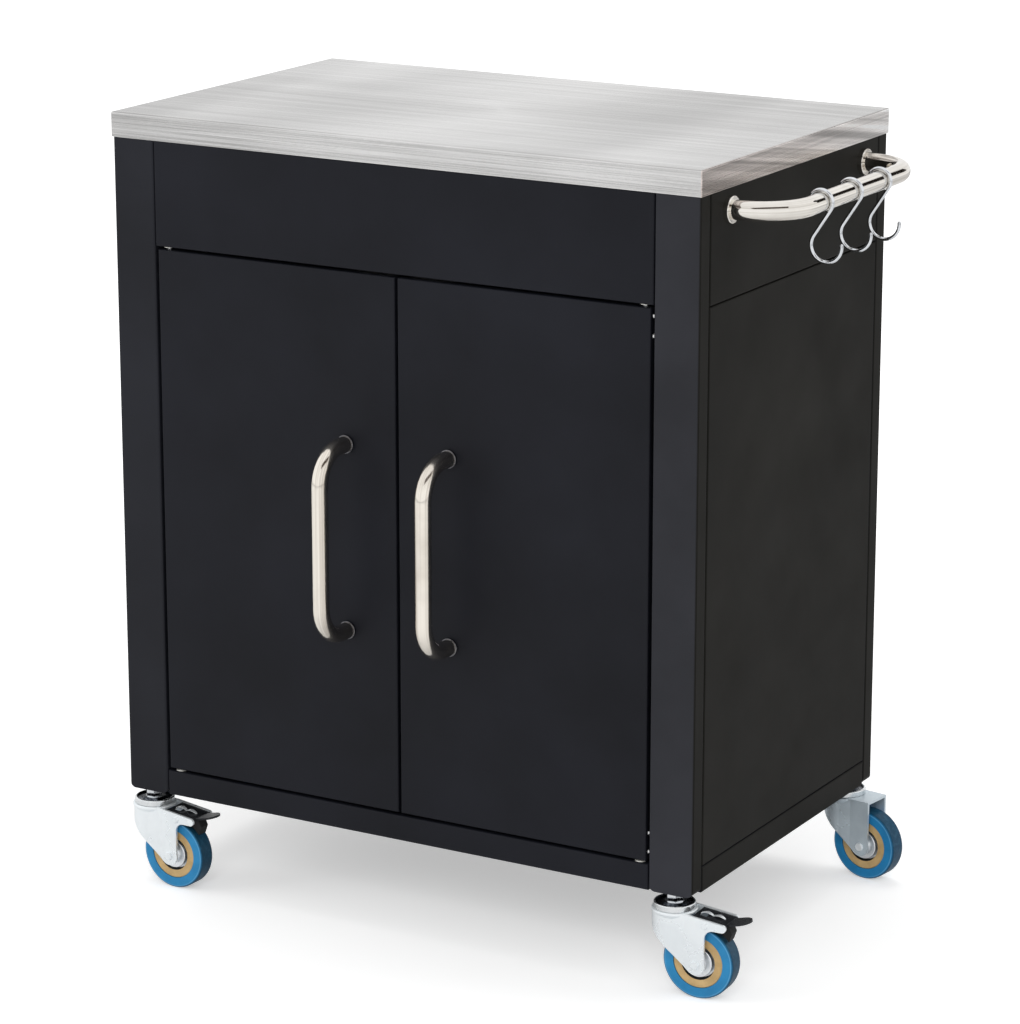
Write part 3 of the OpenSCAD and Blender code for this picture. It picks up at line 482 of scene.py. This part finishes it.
def treadMaterial(corner):
    mat, tree, shader = newMaterial("blueRubber_" + corner)
    where = place(tree)
    radius = wheelRadius(tree, corner)
    rim = radiusOf("tread_" + corner)
    tint = tread["tint"].get(corner, 1)
    blueDark, blue, shadedRunBlue = (scaled(tread[part], tint) for part in ("blueDark", "blue", "shadedRunBlue"))
    cloud = noise(tree, where, *tread["cloud"])
    rings = lineNoise(tree, radius, tread["ringScale"])
    side = mixColor(tree, remap(tree, cloud, *tread["cloudSpan"]), blueDark, blue)
    side = mixColor(tree, remap(tree, rings, *tread["ringSpan"]), side, tread["ringTone"])
    dust = remap(tree, noise(tree, where, *tread["dust"]), *tread["dustSpan"])
    # The running surface: painted shade, with dust over it
    run = mixColor(tree, dust, shadedRunBlue, tread["dustTone"])
    isRun = remap(tree, radius, rim - tread["runStart"], rim - tread["runFull"])
    color = mixColor(tree, isRun, side, run)
    # Painted highlight: a light line where the face turns into the running surface
    away = calculate(tree, "SUBTRACT", radius, rim - tread["shoulderHighlightDepth"])
    away = calculate(tree, "ABSOLUTE", away)
    shoulderHighlight = remap(tree, away, 0, tread["shoulderHighlightWidth"], tread["shoulderHighlightShare"], 0)
    grooves = bump(tree, rings, *tread["ringBump"])
    feed(tree, shader, {
        "Base Color": mixColor(tree, shoulderHighlight, color, tread["shoulderHighlightTone"]),
        "Roughness": remap(tree, cloud, *noiseSpan, *tread["roughness"]),
        "Specular IOR Level": tread["specular"],
        "Normal": dents(tree, where, tread["grain"], grooves),
    })
    return mat


core = {
    "tan": (0.66, 0.45, 0.20),
    "tanDark": (0.50, 0.33, 0.14),
    "cloud": (90, 4),
    "speck": (1500, 2),
    "speckTone": (0.72, 0.54, 0.30),
    "speckSpan": (0.62, 0.72, 0, 0.4),
    # Painted shade: the recess inside the rim is drawn near black
    "paintedRecessShade": (0.012, 0.012, 0.013),
    "rimWidth": 0.0082,
    "cap": (0.90, 0.92, 0.94),
    "capRadius": 0.0163,
    "roughness": (0.38, 0.5),
    "capNoise": (140, 3),
    "capRoughness": (0.3, 0.42),
    "grain": (420, 2, 0.3, 0.00006),
}


def coreMaterial(corner):
    mat, tree, shader = newMaterial("coreNylon_" + corner)
    where = place(tree)
    radius = wheelRadius(tree, corner)
    rimStart = radiusOf("core_" + corner) - core["rimWidth"]
    cloud = noise(tree, where, *core["cloud"])
    speck = remap(tree, noise(tree, where, *core["speck"]), *core["speckSpan"])
    tan = mixColor(tree, remap(tree, cloud, *noiseSpan), core["tanDark"], core["tan"])
    tan = mixColor(tree, speck, tan, core["speckTone"])
    isRim = calculate(tree, "GREATER_THAN", radius, rimStart)
    isCap = calculate(tree, "LESS_THAN", radius, core["capRadius"])
    # Painted shade in the recess inside the rim
    color = mixColor(tree, isRim, core["paintedRecessShade"], tan)
    plain = remap(tree, cloud, *noiseSpan, *core["roughness"])
    shiny = remap(tree, noise(tree, where, *core["capNoise"]), *noiseSpan, *core["capRoughness"])
    feed(tree, shader, {
        "Base Color": mixColor(tree, isCap, color, core["cap"]),
        "Roughness": mixValue(tree, isCap, plain, shiny),
        "Metallic": isCap,
        "Normal": dents(tree, where, core["grain"]),
    })
    return mat


# The casters' fixed races carry a painted reflection of the dark cabinet in the dish; all four are
# reached by folding X and Y

race = {
    "zinc": (0.88, 0.90, 0.91),
    "zincDark": (0.74, 0.77, 0.79),
    "cloud": (60, 4),
    "dishReflection": (0.030, 0.036, 0.045),
    "dishReflectionLight": (0.20, 0.22, 0.25),
    "reflectionMottle": (300, 3),
    "reflectionMottleSpan": (0.5, 0.75),
    "inner": 0.0095,
    "outer": 0.0188,
    "roughness": (0.2, 0.34),
    "pits": (160, 2, 0.2, 0.00005),
}


def raceMaterial():
    mat, tree, shader = newMaterial("racePlate")
    where = place(tree)
    spots = [Vector(joints["swivel_turn_" + corner]["pos_m"]) for corner in corners]
    middle = sum(spots, Vector()) / len(spots)
    axes = split(tree, place(tree, centre=middle))
    flat = addNode(tree, "ShaderNodeCombineXYZ")
    for slot in (0, 1):
        reach = sum(abs(spot[slot] - middle[slot]) for spot in spots) / len(spots)
        folded = calculate(tree, "SUBTRACT", calculate(tree, "ABSOLUTE", axes[slot]), reach)
        tree.links.new(folded, flat.inputs[slot])
    radius = distance(tree, flat.outputs[0])
    cloud = noise(tree, where, *race["cloud"])
    reflectionMottle = remap(tree, noise(tree, where, *race["reflectionMottle"]), *race["reflectionMottleSpan"])
    zinc = mixColor(tree, remap(tree, cloud, *noiseSpan), race["zincDark"], race["zinc"])
    # Painted reflection: the dish is drawn dark, mottled lighter in places
    dishReflection = mixColor(tree, reflectionMottle, race["dishReflection"], race["dishReflectionLight"])
    inDishReflection = calculate(tree, "GREATER_THAN", radius, race["inner"])
    inDishReflection = calculate(tree, "MULTIPLY", inDishReflection, calculate(tree, "LESS_THAN", radius, race["outer"]))
    feed(tree, shader, {
        "Base Color": mixColor(tree, inDishReflection, zinc, dishReflection),
        "Roughness": remap(tree, cloud, *noiseSpan, *race["roughness"]),
        "Metallic": 1,
        "Normal": dents(tree, where, race["pits"]),
    })
    return mat


# Moulded pieces: the brake levers, their pads, the hinge bushes and the catches

plastic = {
    # Tone, second tone, roughness, specular level, scale of the grain
    "leverBlack": ((0.010, 0.011, 0.013), (0.022, 0.023, 0.026), 0.28, 0.2, 900),
    "padRubber": ((0.012, 0.012, 0.012), (0.02, 0.02, 0.021), 0.6, 0.2, 500),
    "whiteNylon": ((0.80, 0.79, 0.75), (0.72, 0.70, 0.65), 0.45, 0.5, 700),
    "cloud": (45, 4),
    "roughSpread": 0.07,
    "grainBump": (2, 0.35, 0.00006),
}


def moulded(name):
    tone, other, roughness, specular, grain = plastic[name]
    mat, tree, shader = newMaterial(name)
    where = place(tree)
    cloud = noise(tree, where, *plastic["cloud"])
    shiny, dull = roughness - plastic["roughSpread"], roughness + plastic["roughSpread"]
    feed(tree, shader, {
        "Base Color": mixColor(tree, remap(tree, cloud, *noiseSpan), other, tone),
        "Roughness": remap(tree, cloud, *noiseSpan, shiny, dull),
        "Specular IOR Level": specular,
        "Normal": dents(tree, where, (grain, *plastic["grainBump"])),
    })
    return mat


# Board in the worktop: pressed chips

board = {
    "chipScale": 260.0,
    "dark": (0.30, 0.20, 0.11),
    "light": (0.58, 0.44, 0.27),
    "roughness": 0.85,
    "chipBump": (0.5, 0.0004),
}


def boardMaterial():
    mat, tree, shader = newMaterial("particleBoard")
    cells = addNode(tree, "ShaderNodeTexVoronoi", {"Scale": board["chipScale"]})
    tree.links.new(place(tree), cells.inputs["Vector"])
    chips = addNode(tree, "ShaderNodeSeparateColor")
    tree.links.new(cells.outputs["Color"], chips.inputs["Color"])
    feed(tree, shader, {
        "Base Color": mixColor(tree, chips.outputs["Red"], board["dark"], board["light"]),
        "Roughness": board["roughness"],
        "Normal": bump(tree, cells.outputs["Distance"], *board["chipBump"]),
    })
    return mat


# Copies of the one black coat; the near post's and the side panels' copies are painted lighter as
# painted light
doorCoat = powderCoat("blackCoatDoors", "doors")
litNearPostCoat = powderCoat("blackCoatNearPostPaintedLight", "litNearPost", "post_front_right")
postCoat = powderCoat("blackCoatPosts", "otherPosts", "post_rear_right")
railCoat = powderCoat("blackCoatRails", "doors", "floor_tray")
litSideCoat = powderCoat("blackCoatSidesPaintedLight", "sides")
innerCoat = powderCoat("blackCoatInside", "inside")
hookChrome = plated("hookChrome")
screwSteel = plated("screwSteel")
zincPlate = plated("zincPlate")
zincShaded = plated("zincShaded")
springSteel = plated("springSteel")
blackLever = moulded("leverBlack")
blackPad = moulded("padRubber")

dress(worktopMaterial(), "worktop_sheet")
dress(boardMaterial(), "worktop_core")
dress(litNearPostCoat, "post_front_right")
dress(postCoat, "post_front_left", "post_rear_left", "post_rear_right")
dress(doorCoat, "front_apron", "back_panel")
dress(doorCoat, "left_door_skin", "right_door_skin", "left_door_liner", "right_door_liner")
dress(railCoat, "floor_tray")
dress(litSideCoat, "left_panel", "right_panel", "left_apron", "right_apron")
dress(innerCoat, "shelf")
dress(polishedTube("handleSteel"), "left_handle", "right_handle")
dress(polishedTube("barSteel"), "towel_bar", "towel_bar_collars")
dress(hookChrome, "hook_front", "hook_middle", "hook_rear", "caster_nuts")
dress(screwSteel, "worktop_screws", "towel_bar_screws", "shelf_pins")
dress(screwSteel, "left_hinge_brackets", "right_hinge_brackets")
dress(plated("footSteel"), "left_handle_fixings", "right_handle_fixings")
dress(moulded("whiteNylon"), "magnetic_catches", "hinge_bushes")
dress(raceMaterial(), "caster_stems")
for corner in corners:
    # The far caster stands in the cabinet's shade
    dress(zincShaded if corner == "rear_right" else zincPlate, "fork_" + corner)
    dress(zincPlate, "axle_" + corner)
    dress(treadMaterial(corner), "tread_" + corner)
    dress(coreMaterial(corner), "core_" + corner)
for side in ("left", "right"):
    dress(blackLever, "brake_pedal_" + side)
    dress(zincPlate, "brake_rivet_" + side)
    dress(blackPad, "brake_pad_" + side)
print("materials made")


# Leaf springs that lie on the brake pedals between the fork's legs

spring = {
    # Ends, as distances from the swivel's axis
    "from": 0.0285,
    "to": 0.0530,
    "width": 0.0105,
    # Share of the width that is left between the humps, and the height of a hump
    "waist": 0.45,
    "rise": 0.0019,
    "humps": 2,
    "columns": 24,
    "rows": 4,
    "thick": 0.0006,
    "edge": 0.00012,
    "edgeSteps": 2,
    "lift": 0.00005,
    # A face looks up where its normal's Z is over this
    "upward": 0.9,
}


def plateOf(node):
    # Middle and normal of the node's largest face that looks up
    upward = (f for f in node.data.polygons if f.normal.z > spring["upward"])
    face = max(upward, key=lambda f: f.area)
    turned = node.matrix_world.to_3x3() @ face.normal
    return node.matrix_world @ face.center, turned.normalized()


def makeBrakeSpring(side):
    turn = axleOf("front_" + side)[1]
    swivel = Vector(joints["swivel_turn_front_" + side]["pos_m"])
    centre, normal = plateOf(nodes["brake_pedal_" + side])
    ahead = Vector((math.cos(turn), math.sin(turn), 0))
    length = spring["to"] - spring["from"]
    pitch = length / spring["columns"]
    middle = swivel + ahead * (spring["from"] + spring["to"]) / 2
    away = middle - centre
    middle.z = centre.z - (away.x * normal.x + away.y * normal.y) / normal.z
    bpy.ops.object.select_all(action="DESELECT")
    bpy.ops.mesh.primitive_grid_add(
        x_subdivisions=spring["columns"], y_subdivisions=spring["rows"], size=1, location=(0, 0, 0))
    leaf = bpy.context.active_object
    leaf.name = "brakeSpring_" + side
    bpy.ops.transform.resize(value=(length, spring["width"], 1), center_override=(0, 0, 0))
    bpy.ops.object.transform_apply(location=False, rotation=False, scale=True)
    # Each column of points is raised into its hump and drawn in between the humps
    for column in range(spring["columns"] + 1):
        at = length * (column / spring["columns"] - 0.5)
        hump = abs(math.sin(math.pi * spring["humps"] * column / spring["columns"]))
        narrow = spring["waist"] + (1 - spring["waist"]) * hump
        for vertex in leaf.data.vertices:
            vertex.select = abs(vertex.co.x - at) < pitch / 4
        bpy.ops.object.mode_set(mode="EDIT")
        bpy.ops.mesh.select_mode(type="VERT")
        bpy.ops.transform.resize(value=(1, narrow, 1), center_override=(0, 0, 0))
        bpy.ops.transform.translate(value=(0, 0, spring["rise"] * hump))
        bpy.ops.mesh.select_all(action="DESELECT")
        bpy.ops.object.mode_set(mode="OBJECT")
    slope = math.atan2(normal.dot(ahead), normal.z)
    bpy.ops.transform.rotate(value=-slope, orient_axis="Y", center_override=(0, 0, 0))
    bpy.ops.transform.rotate(value=-turn, orient_axis="Z", center_override=(0, 0, 0))
    bpy.ops.transform.translate(value=middle + normal * spring["lift"])
    bpy.ops.object.transform_apply()
    shell = leaf.modifiers.new("sheet", "SOLIDIFY")
    shell.thickness = spring["thick"]
    shell.offset = 1
    edge = leaf.modifiers.new("edge", "BEVEL")
    edge.width = spring["edge"]
    edge.segments = spring["edgeSteps"]
    edge.limit_method = "ANGLE"
    leaf.data.materials.append(springSteel)
    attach(leaf, "brake_" + side)


for side in ("left", "right"):
    makeBrakeSpring(side)
print("brake springs made")


# Stage: a pale floor, a white room, soft lamps, and flags: dark cards that only metal mirrors

stage = {
    "floorSize": 14,
    "floorTone": (0.86, 0.86, 0.86),
    "floorMottle": (3, 2, 0.985),
    "matte": {"Roughness": 0.9, "Specular IOR Level": 0},
    # Glow of the floor near the cabinet, further off and in mirrors, with the distances it spans
    "nearLift": 0.42,
    "farLift": 0.80,
    "liftSpan": (0.4, 2.4),
    "mirroredLift": 0.05,
    # Light that the white room sheds on what isn't mirrored
    "roomLevel": 0.55,
    "weave": (400, 2, 0.6, 1.4),
    # Name, place from the cabinet's foot, aim, width, height, tone
    "flags": [
        ("barFlag", (1.75, 4.0, 2.15), (0.42, 0.2, 2.0), 0.75, 1.7, (0.012, 0.009, 0.007)),
        ("armFlag", (1.46, -1.08, 2.56), (0.33, -0.08, 0.76), 2.8, 0.75, (0.13, 0.105, 0.09)),
    ],
    # Name, place from the cabinet's foot, aim, width, height, watts
    "lamps": [
        ("keyLamp", (1.6, -3.4, 2.6), (0, 0.2, 0.45), 2.2, 1.6, 62),
        ("fillLamp", (-3.0, -2.2, 1.6), (0, 0.2, 0.4), 1.8, 2.2, 26),
        ("sideLamp", (3.0, 1.6, 2.2), (0.3, 0.2, 0.5), 1.6, 1.6, 14),
        ("topLamp", (-0.4, 0.6, 3.2), (0, 0.2, 0.8), 2.6, 1.2, 30),
    ],
}


def makeFloor():
    bpy.ops.mesh.primitive_plane_add(size=stage["floorSize"], location=(0, 0, 0))
    floor = bpy.context.active_object
    floor.name = "studioFloor"
    mat, tree, shader = newMaterial("floorPaint")
    where = place(tree)
    scale, detail, darker = stage["floorMottle"]
    tone = stage["floorTone"]
    mottled = mixColor(tree, noise(tree, where, scale, detail), tone, scaled(tone, darker))
    feed(tree, shader, {"Base Color": mottled, **stage["matte"]})
    ray = addNode(tree, "ShaderNodeLightPath")
    seen = calculate(tree, "MAXIMUM", ray.outputs["Is Camera Ray"], ray.outputs["Is Transmission Ray"])
    lift = remap(tree, distance(tree, where), *stage["liftSpan"], stage["nearLift"], stage["farLift"])
    mirrored = calculate(tree, "MULTIPLY", ray.outputs["Is Glossy Ray"], stage["mirroredLift"])
    level = calculate(tree, "ADD", calculate(tree, "MULTIPLY", seen, lift), mirrored)
    glow = addNode(tree, "ShaderNodeEmission")
    tree.links.new(level, glow.inputs["Strength"])
    both = addNode(tree, "ShaderNodeAddShader")
    tree.links.new(shader.outputs["BSDF"], both.inputs[0])
    tree.links.new(glow.outputs["Emission"], both.inputs[1])
    tree.links.new(both.outputs["Shader"], tree.nodes["Material Output"].inputs["Surface"])
    floor.data.materials.append(mat)


def makeFlags():
    scale, detail, darker, lighter = stage["weave"]
    for name, where, aim, width, height, tone in stage["flags"]:
        mat, tree, shader = newMaterial(name + "Cloth")
        weave = noise(tree, place(tree), scale, detail)
        cloth = mixColor(tree, weave, scaled(tone, darker), scaled(tone, lighter))
        feed(tree, shader, {"Base Color": cloth, **stage["matte"]})
        facing = (Vector(aim) - Vector(where)).to_track_quat("Z", "Y").to_euler()
        bpy.ops.mesh.primitive_plane_add(size=1, location=cabinetFoot + Vector(where), rotation=facing)
        flag = bpy.context.active_object
        flag.name = name
        flag.scale = (width, height, 1)
        flag.visible_camera = False
        flag.visible_diffuse = False
        flag.visible_shadow = False
        flag.data.materials.append(mat)


def makeRoom():
    world = bpy.data.worlds.new("whiteRoom")
    bpy.context.scene.world = world
    world.use_nodes = True
    tree = world.node_tree
    ray = addNode(tree, "ShaderNodeLightPath")
    seen = calculate(tree, "MAXIMUM", ray.outputs["Is Camera Ray"], ray.outputs["Is Glossy Ray"])
    seen = calculate(tree, "MAXIMUM", seen, ray.outputs["Is Transmission Ray"])
    level = remap(tree, seen, 0, 1, stage["roomLevel"], 1)
    feed(tree, tree.nodes["Background"], {"Color": (1, 1, 1), "Strength": level})


def makeLamps():
    for name, where, aim, width, height, watts in stage["lamps"]:
        bpy.ops.object.light_add(type="AREA", location=cabinetFoot + Vector(where))
        lamp = bpy.context.active_object
        lamp.name = name
        lamp.data.shape = "RECTANGLE"
        lamp.data.size = width
        lamp.data.size_y = height
        lamp.data.energy = watts
        lamp.visible_glossy = False
        gaze = Vector(aim) - Vector(where)
        lamp.rotation_euler = gaze.to_track_quat("-Z", "Y").to_euler()


# Camera: its place from the cabinet's foot, its turn and tilt in degrees, lens and film in mm

camera = {
    "place": (1.9209, -3.1070, 1.4285),
    "turn": 30.02,
    "tilt": 15.20,
    "lens": 137.75,
    "film": 36,
    "reach": 60,
}


def makeCamera():
    bpy.ops.object.camera_add(location=cabinetFoot + Vector(camera["place"]))
    cam = bpy.context.active_object
    cam.name = "photoCamera"
    cam.rotation_euler = (math.radians(90 - camera["tilt"]), 0, math.radians(camera["turn"]))
    cam.data.lens = camera["lens"]
    cam.data.sensor_width = camera["film"]
    cam.data.clip_end = camera["reach"]
    bpy.context.scene.camera = cam


makeFloor()
makeFlags()
makeRoom()
makeLamps()
makeCamera()
bpy.context.scene.view_settings.view_transform = "Standard"
print("stage and camera set")
